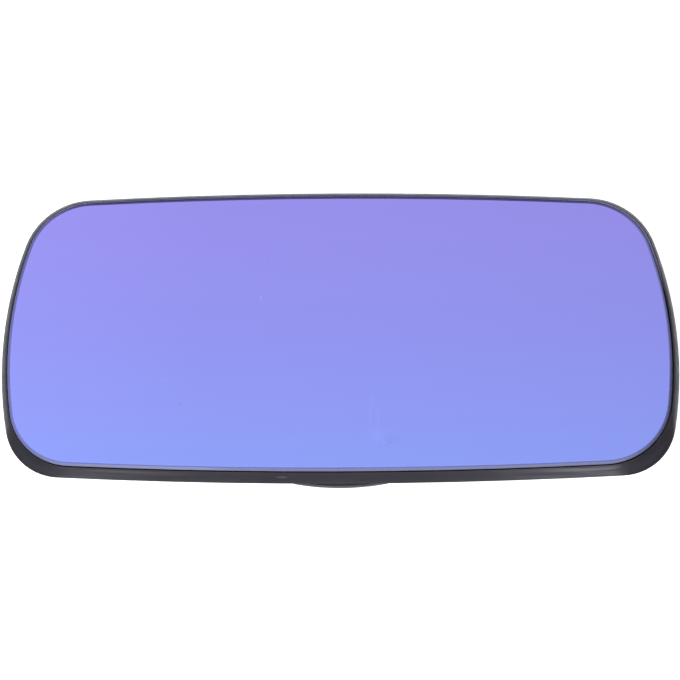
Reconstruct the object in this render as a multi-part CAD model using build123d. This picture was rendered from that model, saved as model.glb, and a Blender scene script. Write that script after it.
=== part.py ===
from build123d import *
import os

# Car door mirror glass, lying glass side up: a coated pane bonded into a moulded
# carrier, with a turning lock ring on the hub behind it.
# X runs along the width, Y from the lower edge to the upper edge, Z out of the glass.
# The origin is on the hub axis, at the back end of the hub. Sizes are millimetres.

# Pane: its outline is the overlap of four large discs, with rounded corners
glass_width = 165.8
glass_height = 71.3
glass_thickness = 2.0
top_bow_radius = 1270.0
bottom_bow_radius = 1380.0
side_bow_radius = 95.0
widest_drop = 6.2
upper_corner_radius = 16.8
lower_left_corner_radius = 15.7
lower_right_corner_radius = 17.4
arris_width = 0.25
arris_depth = 0.04
bevel_width = 0.55
bevel_depth = 0.7

# Foam pad that bonds the pane to the carrier
pad_thickness = 0.5
pad_inset = 1.5

# Carrier: plate with a rim that flares out behind the pane, whose pocket lies a little high in it
plate_thickness = 1.5
pocket_raise = 0.14
glass_gap = 0.3
glass_shift = -0.15
lip_width = 0.4
lip_flat = 0.1
lip_nose_drop = 0.38
lip_drop = 0.8
rim_depth = 4.5
rim_side_reach = 2.13
rim_edge_reach = 2.29
rim_upper_corner_radius = 17.6
rim_lower_corner_radius = 14.2
rim_back_width = 2.0
rim_edge_chamfer = 0.3

# Hub: a round spigot that the mirror drive plugs into
hub_depth = 15.0
spigot_bore_radius = 22.0
spigot_wall = 2.0
spigot_chamfer = 0.4

# Fan of stiffening ribs on each wing of the plate
rib_angles = (-32, -16, 0, 16, 32)
rib_thickness = 1.4
rib_hub_height = 2.6
rib_rim_height = 0.8
rib_start_gap = 1.2
rib_end_gap = 3.0

# Lock ring: a collar that turns on the spigot, with a flange and a lever
ring_clearance = 0.15
ring_end_gap = 0.2
collar_wall = 1.8
flange_radius = 32.0
flange_thickness = 2.0
flange_back_height = 4.7
lever_reach = 37.65
lever_width = 26.0
lever_edge_radius = 63.7
lever_corner_radius = 2.0
lever_thickness = 3.2
grip_slot_count = 3
grip_slot_pitch = 6.0
grip_slot_width = 2.0
grip_slot_length = 4.0
grip_slot_depth = 1.6
grip_slot_edge = 1.6

# Claws on the ring that draw the mirror drive into the hub
claw_count = 4
claw_first_angle = 30
claw_span = 26
claw_wall = 1.8
claw_radial_gap = 1.4
claw_nose = 2.0
claw_nose_thickness = 1.4
claw_tip_height = 0.6
claw_ramp_drop = 0.7
claw_ramp_angle = 8

# Spring hooks on the carrier that hold the ring's flange
hook_angles = (-20, 50, 130, 200)
hook_span = 16
hook_wall = 1.6
hook_side_clearance = 0.3
hook_end_clearance = 0.2
hook_overlap = 1.0
hook_nose_thickness = 1.5

# Stop: a post on the carrier in a curved slot of the flange
ring_travel = 22
stop_angle = 90
stop_orbit_radius = 28.6
stop_post_radius = 1.2
stop_clearance = 0.25
stop_proud = 0.6

# Levels along Z
glass_face_z = hub_depth
glass_back_z = glass_face_z - glass_thickness
plate_front_z = glass_back_z - pad_thickness
plate_back_z = plate_front_z - plate_thickness
lip_z = glass_face_z - lip_drop
rim_back_z = glass_face_z - rim_depth
flange_front_z = flange_back_height + flange_thickness
lever_back_z = flange_front_z - lever_thickness

# Radii about the hub axis
spigot_radius = spigot_bore_radius + spigot_wall
collar_bore_radius = spigot_radius + ring_clearance
collar_radius = collar_bore_radius + collar_wall


def rounded_outline(side_grow, edge_grow, upper_radius, lower_left_radius, lower_right_radius):
    """The pane's outline, grown outwards at its sides and edges, with the given corner radii."""
    top = Pos(0, glass_height / 2 - top_bow_radius) * Circle(top_bow_radius + edge_grow)
    bottom = Pos(0, bottom_bow_radius - glass_height / 2) * Circle(bottom_bow_radius + edge_grow)
    side = Rot(0, 0, 180) * Circle(side_bow_radius + side_grow)
    side_x = glass_width / 2 - side_bow_radius
    right = Pos(side_x, -widest_drop) * side
    left = mirror(right, about=Plane.YZ)
    outline = top & bottom & right & left
    outline = fillet(outline.vertices().group_by(Axis.Y)[-1], upper_radius)
    left_corner, right_corner = outline.vertices().group_by(Axis.Y)[0].sort_by(Axis.X)
    outline = fillet(left_corner, lower_left_radius)
    right_corner = outline.vertices().sort_by_distance(right_corner)[0]
    return fillet(right_corner, lower_right_radius)


def pane_outline(grow):
    """The pane's outline in its place in the carrier, grown by the same distance all round."""
    return Pos(0, pocket_raise) * rounded_outline(
        grow,
        grow,
        upper_corner_radius + grow,
        lower_left_corner_radius + grow,
        lower_right_corner_radius + grow,
    )


def rim_outline(inset):
    """The widest outline of the rim, taken in by the same distance all round."""
    return rounded_outline(
        rim_side_reach - inset,
        rim_edge_reach - inset,
        rim_upper_corner_radius - inset,
        rim_lower_corner_radius - inset,
        rim_lower_corner_radius - inset,
    )


def slab(outline, low, high):
    """A flat slab of the given outline between two heights."""
    return extrude(Pos(0, 0, low) * outline, high - low)


def turned(points, start=0, span=360):
    """A profile of radius and height points swept round the hub axis."""
    profile = make_face(Polyline([(radius, 0, height) for radius, height in points], close=True))
    return Rot(0, 0, start) * revolve(profile, Axis.Z, span)


def make_glass():
    """The pane, with a ground bevel and a fine arris inside it, bonded a little to the left."""
    arris_z = glass_face_z - arris_depth
    bevel_z = arris_z - bevel_depth
    body = slab(pane_outline(0), glass_back_z, bevel_z)
    edge = Pos(0, 0, bevel_z) * pane_outline(0)
    arris = Pos(0, 0, arris_z) * pane_outline(-bevel_width)
    face = Pos(0, 0, glass_face_z) * pane_outline(-bevel_width - arris_width)
    return Pos(glass_shift, 0) * (body + loft([edge, arris, face], ruled=True))


def make_pad():
    """The bonding pad, between the pane and the plate."""
    return Pos(glass_shift, 0) * slab(pane_outline(-pad_inset), plate_front_z, glass_back_z)


def make_rim():
    """The plate and its flared rim with a sloped lip, open in front for the pane."""
    front = Pos(0, 0, lip_z) * pane_outline(glass_gap + lip_flat)
    nose = Pos(0, 0, lip_z - lip_nose_drop) * pane_outline(glass_gap + lip_width)
    widest = Pos(0, 0, rim_back_z + rim_edge_chamfer) * rim_outline(0)
    back = Pos(0, 0, rim_back_z) * rim_outline(rim_edge_chamfer)
    shell = loft([back, widest, nose, front], ruled=True)
    pocket = slab(pane_outline(glass_gap), plate_front_z, glass_face_z)
    recess = slab(rim_outline(rim_back_width), rim_back_z, plate_back_z)
    return shell - pocket - recess


def make_ribs():
    """Ribs that fan out from the hub over both wings of the plate."""
    start = collar_radius + rib_start_gap
    end = glass_width / 2
    profile = make_face(
        Polyline(
            (start, 0, plate_back_z),
            (start, 0, plate_back_z - rib_hub_height),
            (end, 0, plate_back_z - rib_rim_height),
            (end, 0, plate_back_z),
            close=True,
        )
    )
    rib = extrude(profile, rib_thickness / 2, both=True)
    ribs = Part()
    for angle in rib_angles:
        ribs += Rot(0, 0, angle) * rib
        ribs += Rot(0, 0, 180 - angle) * rib
    inside_rim = rim_outline(rim_back_width + rib_end_gap)
    return ribs & slab(inside_rim, 0, plate_back_z)


def make_spigot():
    """The round wall that the mirror drive plugs into."""
    return turned(
        [
            (spigot_bore_radius, 0),
            (spigot_radius - spigot_chamfer, 0),
            (spigot_radius, spigot_chamfer),
            (spigot_radius, plate_back_z),
            (spigot_bore_radius, plate_back_z),
        ]
    )


def make_hooks():
    """Spring hooks that reach over the edge of the ring's flange."""
    stem = flange_radius + hook_side_clearance
    nose = flange_radius - hook_overlap
    catch_z = flange_back_height - hook_end_clearance
    tip_z = catch_z - hook_nose_thickness
    profile = [
        (stem, plate_back_z),
        (stem + hook_wall, plate_back_z),
        (stem + hook_wall, tip_z),
        (stem, tip_z),
        (nose, catch_z - hook_nose_thickness / 2),
        (nose, catch_z),
        (stem, catch_z),
    ]
    hooks = Part()
    for angle in hook_angles:
        hooks += turned(profile, angle - hook_span / 2, hook_span)
    return hooks


def make_stop_post():
    """The post that ends the ring's travel."""
    low = flange_back_height - stop_proud
    post = Pos(stop_orbit_radius, 0, low) * extrude(Circle(stop_post_radius), plate_back_z - low)
    return Rot(0, 0, stop_angle) * post


def make_carrier():
    """The one-piece moulding that carries the pane and the hub."""
    return make_rim() + make_ribs() + make_spigot() + make_hooks() + make_stop_post()


def make_ring_body():
    """The collar on the spigot with its flange."""
    return turned(
        [
            (collar_bore_radius, flange_back_height),
            (flange_radius, flange_back_height),
            (flange_radius, flange_front_z),
            (collar_radius, flange_front_z),
            (collar_radius, plate_back_z - ring_end_gap),
            (collar_bore_radius, plate_back_z - ring_end_gap),
        ]
    )


def make_lever():
    """The lever at the lower edge, with slots for a screwdriver tip."""
    root = collar_radius
    blank = Pos(0, -(root + lever_reach) / 2) * Rectangle(lever_width, lever_reach - root)
    edge = Pos(0, lever_edge_radius - lever_reach) * Circle(lever_edge_radius)
    outline = blank & edge
    outline = fillet(outline.vertices().group_by(Axis.Y)[0], lever_corner_radius)
    lever = slab(outline - Circle(flange_radius - claw_wall), lever_back_z, flange_front_z)
    slot = Box(grip_slot_width, grip_slot_length, grip_slot_depth)
    slot_y = -lever_reach + grip_slot_edge + grip_slot_length / 2
    for place in GridLocations(grip_slot_pitch, 0, grip_slot_count, 1):
        lever -= Pos(0, slot_y, lever_back_z + grip_slot_depth / 2) * place * slot
    return lever


def make_claws():
    """Claws that close over lugs on the mirror drive, with a lead-in ramp on each nose."""
    inner = collar_radius + claw_radial_gap
    nose_radius = inner - claw_nose
    nose_z = claw_tip_height + claw_nose_thickness
    wall_profile = [
        (inner, claw_tip_height),
        (inner + claw_wall, claw_tip_height),
        (inner + claw_wall, flange_back_height),
        (inner, flange_back_height),
    ]
    nose_profile = [
        (nose_radius, claw_tip_height),
        (inner, claw_tip_height),
        (inner, nose_z),
        (nose_radius, nose_z),
    ]
    ramp = Pos(inner, 0, nose_z - claw_ramp_drop) * Rot(claw_ramp_angle, 0, 0) * Box(
        2 * inner, 2 * inner, flange_back_height, align=(Align.CENTER, Align.CENTER, Align.MIN)
    )
    claw = turned(wall_profile, 0, claw_span) + (turned(nose_profile, 0, claw_span) - ramp)
    claws = Part()
    for index in range(claw_count):
        start = claw_first_angle - claw_span / 2 + index * 360 / claw_count
        claws += Rot(0, 0, start) * claw
    return claws


def make_stop_slot():
    """The curved slot that the stop post stands in."""
    half_width = stop_post_radius + stop_clearance
    low = flange_back_height
    high = flange_front_z
    inner = stop_orbit_radius - half_width
    outer = stop_orbit_radius + half_width
    run = turned([(inner, low), (outer, low), (outer, high), (inner, high)], 0, ring_travel)
    end = Pos(stop_orbit_radius, 0, low) * extrude(Circle(half_width), high - low)
    slot = run + end + Rot(0, 0, ring_travel) * end
    return Rot(0, 0, stop_angle - ring_travel) * slot


def make_ring():
    """The lock ring, turned by its lever to fix or free the mirror."""
    return make_ring_body() + make_lever() + make_claws() - make_stop_slot()


os.makedirs("parts", exist_ok=True)
export_step(make_glass(), "parts/mirror_glass.step")
export_step(make_pad(), "parts/bonding_pad.step")
export_step(make_carrier(), "parts/carrier.step")
export_step(make_ring(), "parts/locking_ring.step")
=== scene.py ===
import math

import bpy
from mathutils import Matrix, Vector


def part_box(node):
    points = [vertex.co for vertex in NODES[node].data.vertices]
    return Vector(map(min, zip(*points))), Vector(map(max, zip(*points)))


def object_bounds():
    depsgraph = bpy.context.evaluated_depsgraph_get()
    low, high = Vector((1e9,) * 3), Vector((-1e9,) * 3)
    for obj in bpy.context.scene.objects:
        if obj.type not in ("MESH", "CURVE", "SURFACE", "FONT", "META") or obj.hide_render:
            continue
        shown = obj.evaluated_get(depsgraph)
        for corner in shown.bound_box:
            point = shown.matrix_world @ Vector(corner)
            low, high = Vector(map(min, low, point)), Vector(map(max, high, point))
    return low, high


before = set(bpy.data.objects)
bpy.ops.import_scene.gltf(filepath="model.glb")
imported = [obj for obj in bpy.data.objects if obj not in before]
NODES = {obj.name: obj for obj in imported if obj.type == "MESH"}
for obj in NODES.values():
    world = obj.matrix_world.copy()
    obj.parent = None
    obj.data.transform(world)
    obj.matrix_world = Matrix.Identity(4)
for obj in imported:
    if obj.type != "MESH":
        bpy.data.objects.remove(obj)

CAD_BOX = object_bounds()
SCENE = bpy.context.scene
MM = 0.001
WHITE = (1, 1, 1, 1)

# Camera, worked out from the photo's outline
IMAGE_SIDE_PX = 680
PIXELS_PER_MM = 4.0
CAMERA_DISTANCE = 0.5
CAMERA_TILT = math.radians(15.5)
CAMERA_YAW = math.radians(-0.3)
CAMERA_ROLL = math.radians(-0.15)
RIM_CENTRE_PX = (340.0, 331.2)
SENSOR_WIDTH_MM = 36.0

# Coating of the pane, with a painted reflection over its colour: bluer at the lower edge, violet at the
# upper edge and paler at the left end, with places as shares of the pane's height and width
COATING_AND_REFLECTION_TONES = (
    (0.0, (0.283, 0.366, 0.970, 1)),
    (0.5, (0.314, 0.323, 0.931, 1)),
    (1.0, (0.352, 0.312, 0.925, 1)),
)
PAINTED_REFLECTION_GAIN = ((0.0, 1.0), (0.3, 0.932), (1.0, 0.906))
COATING_METALLIC = 1.0

# Faint marks on the pane, in millimetres: centre, half sizes and gain
PANE_MARKS = (
    ((-19.9, 8.7), (0.35, 0.8), 1.16),
    ((-39.6, -18.6), (0.8, 0.5), 0.94),
    ((-18.2, 19.0), (0.4, 0.7), 0.95),
    ((-44.0, -12.4), (0.9, 0.5), 1.04),
    ((8.0, -17.4), (0.7, 2.4), 1.035),
    ((7.4, -21.8), (0.5, 3.2), 1.035),
    ((9.4, -21.8), (0.5, 3.2), 1.035),
    ((9.0, -26.4), (2.8, 2.8), 1.035),
    ((10.7, -28.5), (0.45, 0.5), 1.06),
    ((12.1, -28.5), (0.8, 0.6), 0.93),
    ((13.0, -27.3), (2.6, 1.6), 0.97),
)

# Ground edge of the pane, an arris that keeps the coating and a matt bevel, with painted light and shade:
# paler at the lower edge, darker at the upper edge and towards the right end. Places in millimetres from
# the lower to the upper edge, with the colour there, and from left to right, with its gain
ARRIS_TONES_AND_PAINTED_LIGHT = (
    (-34, (0.183, 0.219, 0.593, 1)),
    (-28, (0.218, 0.237, 0.630, 1)),
    (30, (0.155, 0.168, 0.480, 1)),
    (34, (0.110, 0.115, 0.350, 1)),
)
ARRIS_PAINTED_LIGHT_GAIN = ((-83, 1.0), (-60, 0.85), (0, 0.77), (60, 0.72), (83, 0.77))
BEVEL_TONES_AND_PAINTED_LIGHT = (
    (-34, (0.140, 0.147, 0.263, 1)),
    (-29, (0.103, 0.105, 0.253, 1)),
    (30, (0.096, 0.096, 0.235, 1)),
    (34, (0.024, 0.021, 0.100, 1)),
)
BEVEL_PAINTED_LIGHT_GAIN = ((-83, 1.0), (68, 1.0), (83, 0.65))
BEVEL_METALLIC = 0.0

# Painted highlights: stretches where the ground edge is brighter, at the upper right and the lower left,
# with their gain.
# Here and below, a stretch is its strength at places in millimetres along each axis: X from left to
# right, Y from the lower to the upper edge, Z up.
PAINTED_HIGHLIGHT_RIGHT = (
    {"X": ((55, 0.0), (75, 1.0)), "Y": ((-12, 0.0), (0, 0.55), (10, 1.0), (24, 0.85), (32, 0.3))},
    1.9,
)
PAINTED_HIGHLIGHT_LEFT = (
    {"X": ((-74, 0.0), (-64, 0.7), (-50, 1.0), (-34, 1.0), (-27, 0.0)), "Y": ((-31, 1.0), (-28, 0.0))},
    1.27,
)

# Painted sheen: paler, streaked stretches of the rim's lower wall, and brighter ones just below its lip
LOWER_WALL = ((-35, 1.0), (-33, 0.0))
PAINTED_WALL_SHEEN = {
    "X": (
        (-74, 0.0), (-66, 0.5), (-55, 0.3), (-42, 0.08), (-25, 0.03),
        (8, 0.0), (31, 0.08), (42, 0.34), (60, 0.9), (67.5, 1.0), (71.5, 0.0),
    ),
    "Y": LOWER_WALL,
}
PAINTED_LIP_SHEEN = {
    "X": (
        (-66, 0.0), (-58, 0.3), (-42, 0.2), (-34, 0.0),
        (38, 0.0), (47, 0.45), (56, 0.9), (66, 1.0), (69.5, 0.0),
    ),
    "Y": LOWER_WALL,
    "Z": ((12.8, 0.0), (13.3, 1.0), (13.75, 1.0), (14.0, 0.0)),
}

# Painted shade: darker plastic at the lower corners, strongest just below the lip
PAINTED_CORNER_SHADE = {
    "X": ((-80, 0.9), (-74, 0.8), (-66, 0.0), (67, 0.0), (75, 1.0)),
    "Y": ((-31, 1.0), (-23, 0.0)),
    "Z": ((12.4, 0.5), (13.7, 1.0)),
}

# A scuff on the lower wall, in millimetres
SCUFF_CENTRE = (-14.4, -36.8, 12.9)
SCUFF_HALF_SIZE = (1.8, 1.0, 0.5)

# Painted light on the inner wall of the carrier's pocket: paler towards the upper edge, palest at the upper
# corners
POCKET_PAINTED_LIGHT = {"Y": ((9, 0.0), (23, 1.0))}
POCKET_PAINTED_CORNER_LIGHT = {
    "X": ((-75, 1.0), (-70, 0.75), (-63, 0.25), (-56, 0.0), (50, 0.0), (63, 0.6), (75, 1.0)),
    "Y": ((11, 0.0), (23, 1.0)),
}

# Colours of the plastics, the foam and the side of the pane, with the scuff and the painted sheen, shade
# and light on the plastics
CARRIER_DARK = (0.0140, 0.0136, 0.0195, 1)
CARRIER_LIGHT = (0.0175, 0.0170, 0.0238, 1)
PAINTED_WALL_SHEEN_COLOUR = (0.080, 0.077, 0.095, 1)
PAINTED_LIP_SHEEN_COLOUR = (0.121, 0.118, 0.138, 1)
SCUFF_COLOUR = (0.05, 0.048, 0.06, 1)
PAINTED_CORNER_SHADE_COLOUR = (0.004, 0.004, 0.011, 1)
POCKET_DARK = (0.0150, 0.0150, 0.0400, 1)
POCKET_LIGHT = (0.0185, 0.0185, 0.0480, 1)
POCKET_PAINTED_LIGHT_COLOUR = (0.34, 0.32, 0.72, 1)
POCKET_PAINTED_CORNER_LIGHT_COLOUR = (0.60, 0.57, 1.00, 1)
RING_DARK = (0.026, 0.026, 0.028, 1)
RING_LIGHT = (0.034, 0.034, 0.037, 1)
FOAM_DARK = (0.012, 0.012, 0.013, 1)
FOAM_LIGHT = (0.020, 0.020, 0.022, 1)
SIDE_DARK = (0.010, 0.010, 0.050, 1)
SIDE_LIGHT = (0.018, 0.018, 0.075, 1)
PLASTIC_SPECULAR = 0.5
RING_SPECULAR = 0.05

# Noise over the surfaces: scale per metre, detail, roughness and the share of that scale along each axis
EVEN = (1, 1, 1)
MOTTLE = (90.0, 4.0, 0.55, EVEN)
SHEEN = (340.0, 2.0, 0.55, EVEN)
MOULD_GRAIN = (2600.0, 2.0, 0.55, EVEN)
PAINTED_SHEEN_STREAK = (1100.0, 3.0, 0.6, (0.05, 1, 1))
PANE_HAZE = (60.0, 4.0, 0.55, EVEN)
GROUND_STREAK = (45.0, 3.0, 0.55, EVEN)
GROUND_GRAIN = (5200.0, 2.0, 0.55, EVEN)
SIDE_STREAK = (400.0, 3.0, 0.55, EVEN)

# What the noise gives: its values, with the strength, shade or roughness at each
MOTTLE_RANGE = (0.35, 0.65)
SIDE_RANGE = (0.3, 0.7)
PAINTED_SHEEN_STREAK_STRENGTH = ((0.36, 0.4), (0.62, 1.0))
GROUND_SHADE = ((0.3, 0.94), (0.7, 1.0))
PLASTIC_ROUGHNESS = ((0.3, 0.34), (0.7, 0.44))
COATING_ROUGHNESS = ((0.4, 0.015), (0.75, 0.05))
ARRIS_ROUGHNESS = ((0.3, 0.10), (0.7, 0.13))
BEVEL_ROUGHNESS = ((0.3, 0.45), (0.7, 0.585))
SIDE_ROUGHNESS = ((0.3, 0.25), (0.7, 0.4))

# Bump of the grains: strength and depth
MOULD_BUMP = (0.18, 0.06 * MM)
GROUND_BUMP = (0.15, 0.02 * MM)

# How a soft-edged spot falls off from its centre to its border
SPOT_FALL = ((0.4, 1.0), (1.0, 0.0))

# Faces: how far up the normals of the pane's front, arris and bevel point at least, how far those of
# upright walls point up or down at most, and the height of the pocket's floor
PANE_RISES = (0.995, 0.95, 0.1)
UPRIGHT_RISE = 0.1
POCKET_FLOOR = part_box("bonding_pad")[0].z

# Rounding of the moulded edges
CARRIER_EDGE = 0.1 * MM
RING_EDGE = 0.2 * MM
EDGE_SEGMENTS = 3
EDGE_ANGLE = math.radians(30)
WELD_REACH = 0.001 * MM

# Floor
FLOOR_SIDE = 6.0
FLOOR_COLOUR = (0.92, 0.92, 0.92, 1)
FLOOR_ROUGHNESS = 0.9
FLOOR_EMISSION = 0.6

# Lamp, aimed at the origin
LAMP_PLACE = Vector((-0.5, -0.6, 0.9))
LAMP_SIDE = 0.8
LAMP_POWER = 11.0

# Room light: the direction that each glow comes from, its strength by the cosine of the angle to that
# direction, and its colour
SKY = (
    (-0.100, -0.275, 0.956),
    ((-1.0, 0.15), (-0.1, 0.15), (0.1, 0.55), (0.75, 0.9016), (1.0, 1.17)),
    WHITE,
)
TABLE = (
    (-0.02, 0.0, -1.0),
    ((-1.0, 0.0), (0.48, 0.0), (0.65, 0.56), (0.71, 0.98), (0.77, 1.1), (0.87, 0.9), (1.0, 0.9)),
    (0.86, 0.91, 1.0, 1),
)
BACKDROP = (
    (0.0, 0.93, -0.37),
    ((-1.0, 0.0), (0.92, 0.0), (0.985, 0.72), (1.0, 0.72)),
    (0.85, 0.83, 1.0, 1),
)

# Greatest strength that the curve of a glow can hold
GLOW_LIMIT = 2.0


def new_material(name):
    """An empty node material with its Principled shader."""
    material = bpy.data.materials.new(name)
    material.use_nodes = True
    tree = material.node_tree
    tree.nodes.clear()
    output = tree.nodes.new("ShaderNodeOutputMaterial")
    shader = tree.nodes.new("ShaderNodeBsdfPrincipled")
    tree.links.new(shader.outputs["BSDF"], output.inputs["Surface"])
    return material, shader


def object_position(tree):
    """The place on the part, in metres."""
    return tree.nodes.new("ShaderNodeTexCoord").outputs["Object"]


def noise(tree, scale, detail, roughness, shares):
    """A noise texture over the part, drawn out along an axis where its share of the scale is small."""
    mapping = tree.nodes.new("ShaderNodeMapping")
    mapping.inputs["Scale"].default_value = shares
    tree.links.new(object_position(tree), mapping.inputs["Vector"])
    texture = tree.nodes.new("ShaderNodeTexNoise")
    texture.inputs["Scale"].default_value = scale
    texture.inputs["Detail"].default_value = detail
    texture.inputs["Roughness"].default_value = roughness
    tree.links.new(mapping.outputs["Vector"], texture.inputs["Vector"])
    return texture.outputs["Fac"]


def grey(level):
    """A level as a colour."""
    return (level, level, level, 1.0)


def ramp(tree, value, *stops):
    """Colours or levels blended between stops, each a place from 0 to 1 and its colour or level."""
    node = tree.nodes.new("ShaderNodeValToRGB")
    elements = node.color_ramp.elements
    while len(elements) < len(stops):
        elements.new(0.5)
    for element, (place, colour) in zip(elements, stops):
        element.position = place
        element.color = colour if isinstance(colour, tuple) else grey(colour)
    tree.links.new(value, node.inputs["Fac"])
    return node.outputs["Color"]


def blend(tree, kind, share, first, second):
    """Two colours mixed in the given way."""
    node = tree.nodes.new("ShaderNodeMix")
    node.data_type = "RGBA"
    node.blend_type = kind
    for socket, value in (("Factor_Float", share), ("A_Color", first), ("B_Color", second)):
        target = next(entry for entry in node.inputs if entry.identifier == socket)
        if isinstance(value, bpy.types.NodeSocket):
            tree.links.new(value, target)
        else:
            target.default_value = value
    return next(entry for entry in node.outputs if entry.identifier == "Result_Color")


def multiply(tree, first, second):
    """The product of two colours or levels."""
    return blend(tree, "MULTIPLY", 1.0, first, second)


def lay(tree, where, under, over):
    """One colour laid over another, as strongly as a mask says."""
    return blend(tree, "MIX", where, under, over)


def change_gain(tree, where, colour, gain):
    """A colour made brighter or darker by a gain, as strongly as a mask says."""
    return lay(tree, where, colour, multiply(tree, colour, grey(gain)))


def along(tree, axis, low, high):
    """How far a place lies from low to high along an axis, as 0 to 1."""
    place = tree.nodes.new("ShaderNodeSeparateXYZ")
    tree.links.new(object_position(tree), place.inputs["Vector"])
    span = tree.nodes.new("ShaderNodeMapRange")
    span.inputs["From Min"].default_value = low
    span.inputs["From Max"].default_value = high
    tree.links.new(place.outputs[axis], span.inputs["Value"])
    return span.outputs["Result"]


def band(tree, axis, levels):
    """Colours or levels at places along an axis, in millimetres, blended between them."""
    low, high = levels[0][0], levels[-1][0]
    stops = [((place - low) / (high - low), level) for place, level in levels]
    return ramp(tree, along(tree, axis, low * MM, high * MM), *stops)


def mask(tree, stretch):
    """The mask of a stretch: the product of its bands along the axes."""
    product, *others = [band(tree, axis, levels) for axis, levels in stretch.items()]
    for other in others:
        product = multiply(tree, product, other)
    return product


def spot(tree, centre, half_size):
    """A soft-edged spot on the part, 1 at its centre and 0 outside its half sizes, in millimetres."""
    mapping = tree.nodes.new("ShaderNodeMapping")
    mapping.vector_type = "TEXTURE"
    mapping.inputs["Location"].default_value = [MM * value for value in centre]
    mapping.inputs["Scale"].default_value = [MM * value for value in half_size]
    tree.links.new(object_position(tree), mapping.inputs["Vector"])
    reach = tree.nodes.new("ShaderNodeVectorMath")
    reach.operation = "LENGTH"
    tree.links.new(mapping.outputs["Vector"], reach.inputs[0])
    return ramp(tree, reach.outputs["Value"], *SPOT_FALL)


def bump(tree, shader, height, strength, depth):
    """A fine relief on a shader."""
    node = tree.nodes.new("ShaderNodeBump")
    node.inputs["Strength"].default_value = strength
    node.inputs["Distance"].default_value = depth
    tree.links.new(height, node.inputs["Height"])
    tree.links.new(node.outputs["Normal"], shader.inputs["Normal"])


def plastic_material(name, dark, light, marks_and_painted_light=None, specular=PLASTIC_SPECULAR):
    """Moulded plastic: fine grain, faint mottling and a satin sheen, with any marks and painted light over
    its colour.
    """
    material, shader = new_material(name)
    tree = material.node_tree
    low, high = MOTTLE_RANGE
    colour = ramp(tree, noise(tree, *MOTTLE), (low, dark), (high, light))
    if marks_and_painted_light:
        colour = marks_and_painted_light(tree, colour)
    tree.links.new(colour, shader.inputs["Base Color"])
    tree.links.new(ramp(tree, noise(tree, *SHEEN), *PLASTIC_ROUGHNESS), shader.inputs["Roughness"])
    shader.inputs["Specular IOR Level"].default_value = specular
    bump(tree, shader, noise(tree, *MOULD_GRAIN), *MOULD_BUMP)
    return material


def carrier_scuff_and_painted_light(tree, colour):
    """The carrier's colour with painted sheen on its lower wall, its scuff and painted shade at its lower
    corners.
    """
    streak = ramp(tree, noise(tree, *PAINTED_SHEEN_STREAK), *PAINTED_SHEEN_STREAK_STRENGTH)
    # Painted sheen in streaks along the lower wall and just below its lip
    colour = lay(tree, multiply(tree, streak, mask(tree, PAINTED_WALL_SHEEN)), colour, PAINTED_WALL_SHEEN_COLOUR)
    colour = lay(tree, multiply(tree, streak, mask(tree, PAINTED_LIP_SHEEN)), colour, PAINTED_LIP_SHEEN_COLOUR)
    colour = lay(tree, spot(tree, SCUFF_CENTRE, SCUFF_HALF_SIZE), colour, SCUFF_COLOUR)
    # Painted shade at the lower corners
    return lay(tree, mask(tree, PAINTED_CORNER_SHADE), colour, PAINTED_CORNER_SHADE_COLOUR)


def carrier_material():
    """The carrier's plastic."""
    return plastic_material("carrier_plastic", CARRIER_DARK, CARRIER_LIGHT, carrier_scuff_and_painted_light)


def pocket_painted_light(tree, colour):
    """The pocket wall's colour with its painted light."""
    # Painted light on the pocket wall, strongest at the upper corners
    colour = lay(tree, mask(tree, POCKET_PAINTED_LIGHT), colour, POCKET_PAINTED_LIGHT_COLOUR)
    return lay(tree, mask(tree, POCKET_PAINTED_CORNER_LIGHT), colour, POCKET_PAINTED_CORNER_LIGHT_COLOUR)


def pocket_material():
    """The inner wall round the pane."""
    return plastic_material("pocket_plastic", POCKET_DARK, POCKET_LIGHT, pocket_painted_light)


def ring_material():
    """The lock ring's duller plastic."""
    return plastic_material("ring_plastic", RING_DARK, RING_LIGHT, specular=RING_SPECULAR)


def pad_material():
    """The adhesive foam behind the pane."""
    return plastic_material("pad_foam", FOAM_DARK, FOAM_LIGHT)


def mirror_material():
    """The coated face of the pane, with a painted reflection over its colour, its marks and a faint haze.
    """
    material, shader = new_material("coated_mirror")
    tree = material.node_tree
    low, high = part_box("mirror_glass")
    # Coating colour with a painted reflection: bluer low, violet high, paler at the left end
    tones_and_painted_light = ramp(tree, along(tree, "Y", low.y, high.y), *COATING_AND_REFLECTION_TONES)
    painted_light_gains = ramp(tree, along(tree, "X", low.x, high.x), *PAINTED_REFLECTION_GAIN)
    colour = multiply(tree, tones_and_painted_light, painted_light_gains)
    for (x, y), (half_x, half_y), gain in PANE_MARKS:
        mark = spot(tree, (x, y, high.z / MM), (half_x, half_y, half_y))
        colour = change_gain(tree, mark, colour, gain)
    tree.links.new(colour, shader.inputs["Base Color"])
    haze = ramp(tree, noise(tree, *PANE_HAZE), *COATING_ROUGHNESS)
    tree.links.new(haze, shader.inputs["Roughness"])
    shader.inputs["Metallic"].default_value = COATING_METALLIC
    return material


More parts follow.
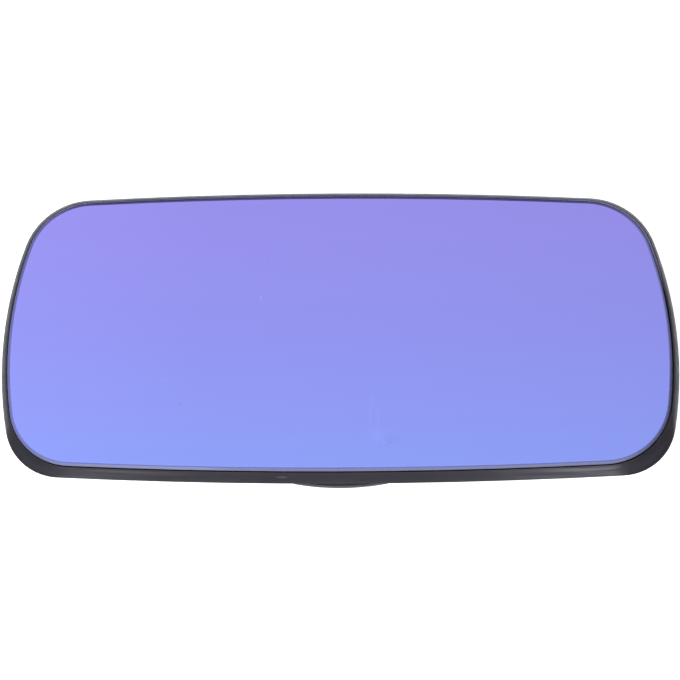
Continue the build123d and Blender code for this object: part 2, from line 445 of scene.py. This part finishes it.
def ground_material(name, tones_and_painted_light, painted_light_gains, painted_highlights, roughness, metallic):
    """Ground glass whose colour follows its place on the pane, with painted light and shade and painted
    highlights, and a fine grain.
    """
    material, shader = new_material(name)
    tree = material.node_tree
    streak = noise(tree, *GROUND_STREAK)
    # Painted light and shade: paler towards the lower edge, darker towards the upper edge and the right end
    colour = multiply(tree, band(tree, "Y", tones_and_painted_light), band(tree, "X", painted_light_gains))
    colour = multiply(tree, colour, ramp(tree, streak, *GROUND_SHADE))
    # Painted highlights on the ground edge
    for stretch, gain in painted_highlights:
        colour = change_gain(tree, mask(tree, stretch), colour, gain)
    tree.links.new(colour, shader.inputs["Base Color"])
    tree.links.new(ramp(tree, streak, *roughness), shader.inputs["Roughness"])
    shader.inputs["Metallic"].default_value = metallic
    bump(tree, shader, noise(tree, *GROUND_GRAIN), *GROUND_BUMP)
    return material


def arris_material():
    """The fine ground line at the edge of the coated face."""
    painted_highlights = (PAINTED_HIGHLIGHT_RIGHT,)
    return ground_material("arris", ARRIS_TONES_AND_PAINTED_LIGHT, ARRIS_PAINTED_LIGHT_GAIN, painted_highlights, ARRIS_ROUGHNESS, COATING_METALLIC)


def bevel_material():
    """The matt bevel outside the arris."""
    painted_highlights = (PAINTED_HIGHLIGHT_RIGHT, PAINTED_HIGHLIGHT_LEFT)
    return ground_material("ground_bevel", BEVEL_TONES_AND_PAINTED_LIGHT, BEVEL_PAINTED_LIGHT_GAIN, painted_highlights, BEVEL_ROUGHNESS, BEVEL_METALLIC)


def glass_side_material():
    """The sawn side of the pane: dark glass."""
    material, shader = new_material("glass_side")
    tree = material.node_tree
    streak = noise(tree, *SIDE_STREAK)
    low, high = SIDE_RANGE
    tree.links.new(ramp(tree, streak, (low, SIDE_DARK), (high, SIDE_LIGHT)), shader.inputs["Base Color"])
    tree.links.new(ramp(tree, streak, *SIDE_ROUGHNESS), shader.inputs["Roughness"])
    return material


def pane_slot(polygon):
    """The material slot of a face of the pane: front, arris, bevel, or side and back."""
    return sum(polygon.normal.z <= rise for rise in PANE_RISES)


def carrier_slot(polygon):
    """The material slot of a face of the carrier: 1 on upright walls above the pocket's floor, or 0."""
    return int(abs(polygon.normal.z) < UPRIGHT_RISE and polygon.center.z > POCKET_FLOOR)


def dress(node, materials, slot_of=None):
    """Gives a CAD node new materials, and each face its slot where there are several."""
    mesh = NODES[node].data
    mesh.materials.clear()
    for material in materials:
        mesh.materials.append(material)
    if slot_of:
        for polygon in mesh.polygons:
            polygon.material_index = slot_of(polygon)


def soften(node, width):
    """Rounds a CAD node's sharp edges a little, as a mould does."""
    piece = NODES[node]
    weld = piece.modifiers.new("weld", "WELD")
    weld.merge_threshold = WELD_REACH
    bevel = piece.modifiers.new("edge", "BEVEL")
    bevel.width = width
    bevel.segments = EDGE_SEGMENTS
    bevel.limit_method = "ANGLE"
    bevel.angle_limit = EDGE_ANGLE
    bevel.harden_normals = True
    for polygon in piece.data.polygons:
        polygon.use_smooth = True


def make_camera():
    """The camera of the photo: above the pane, on the side of its lower edge."""
    right = Vector((math.cos(CAMERA_YAW), 0, math.sin(CAMERA_YAW)))
    up = Vector((
        -math.sin(CAMERA_YAW) * math.sin(CAMERA_TILT),
        math.cos(CAMERA_TILT),
        math.cos(CAMERA_YAW) * math.sin(CAMERA_TILT),
    ))
    back = right.cross(up)
    roll = Matrix.Rotation(CAMERA_ROLL, 3, back)
    turn = Matrix((roll @ right, roll @ up, back)).transposed().to_4x4()
    target = Vector((0, 0, CAD_BOX[1].z))
    data = bpy.data.cameras.new("camera")
    data.sensor_width = SENSOR_WIDTH_MM
    data.lens = PIXELS_PER_MM * CAMERA_DISTANCE / MM * SENSOR_WIDTH_MM / IMAGE_SIDE_PX
    data.shift_x = (IMAGE_SIDE_PX / 2 - RIM_CENTRE_PX[0]) / IMAGE_SIDE_PX
    data.shift_y = (RIM_CENTRE_PX[1] - IMAGE_SIDE_PX / 2) / IMAGE_SIDE_PX
    camera = bpy.data.objects.new("camera", data)
    camera.matrix_world = Matrix.Translation(target + back * CAMERA_DISTANCE) @ turn
    SCENE.collection.objects.link(camera)
    SCENE.camera = camera


def make_floor():
    """A plain white floor, lit from within like a light table so that it shows little shadow."""
    bpy.ops.mesh.primitive_plane_add(size=FLOOR_SIDE, location=(0, 0, 0))
    floor = bpy.context.object
    floor.name = "floor"
    material, shader = new_material("floor_white")
    shader.inputs["Base Color"].default_value = FLOOR_COLOUR
    shader.inputs["Roughness"].default_value = FLOOR_ROUGHNESS
    shader.inputs["Emission Color"].default_value = WHITE
    shader.inputs["Emission Strength"].default_value = FLOOR_EMISSION
    floor.data.materials.append(material)
    floor.visible_glossy = False


def make_lamp():
    """One broad square lamp that doesn't show in the mirror."""
    data = bpy.data.lights.new("key", "AREA")
    data.shape = "SQUARE"
    data.size = LAMP_SIDE
    data.energy = LAMP_POWER
    lamp = bpy.data.objects.new("key", data)
    lamp.location = LAMP_PLACE
    lamp.rotation_euler = (-LAMP_PLACE).to_track_quat("-Z", "Y").to_euler()
    lamp.visible_glossy = False
    SCENE.collection.objects.link(lamp)


def glow(tree, direction, levels, colour):
    """Light from all round whose strength follows the cosine of the angle to a direction."""
    cosine = tree.nodes.new("ShaderNodeVectorMath")
    cosine.operation = "DOT_PRODUCT"
    cosine.inputs[1].default_value = direction
    tree.links.new(tree.nodes.new("ShaderNodeTexCoord").outputs["Generated"], cosine.inputs[0])
    strength = tree.nodes.new("ShaderNodeFloatCurve")
    strength.mapping.clip_min_x = levels[0][0]
    strength.mapping.clip_max_y = GLOW_LIMIT
    curve = strength.mapping.curves[0]
    while len(curve.points) < len(levels):
        curve.points.new(0.0, 0.0)
    for point, level in zip(curve.points, levels):
        point.location = level
        point.handle_type = "VECTOR"
    strength.mapping.update()
    tree.links.new(cosine.outputs["Value"], strength.inputs["Value"])
    background = tree.nodes.new("ShaderNodeBackground")
    background.inputs["Color"].default_value = colour
    tree.links.new(strength.outputs["Value"], background.inputs["Strength"])
    return background.outputs["Background"]


def make_room_light():
    """A soft sky and the glow of a white table and backdrop, added together."""
    world = bpy.data.worlds.new("studio")
    world.use_nodes = True
    SCENE.world = world
    tree = world.node_tree
    tree.nodes.clear()
    light = glow(tree, *SKY)
    for source in (TABLE, BACKDROP):
        both = tree.nodes.new("ShaderNodeAddShader")
        tree.links.new(light, both.inputs[0])
        tree.links.new(glow(tree, *source), both.inputs[1])
        light = both.outputs["Shader"]
    output = tree.nodes.new("ShaderNodeOutputWorld")
    tree.links.new(light, output.inputs["Surface"])


# Plain display colours, with no film curve
SCENE.view_settings.view_transform = "Standard"

pane_materials = (mirror_material(), arris_material(), bevel_material(), glass_side_material())
dress("mirror_glass", pane_materials, pane_slot)
dress("bonding_pad", (pad_material(),))
dress("carrier", (carrier_material(), pocket_material()), carrier_slot)
dress("locking_ring", (ring_material(),))
soften("carrier", CARRIER_EDGE)
soften("locking_ring", RING_EDGE)

make_floor()
make_room_light()
make_lamp()
make_camera()
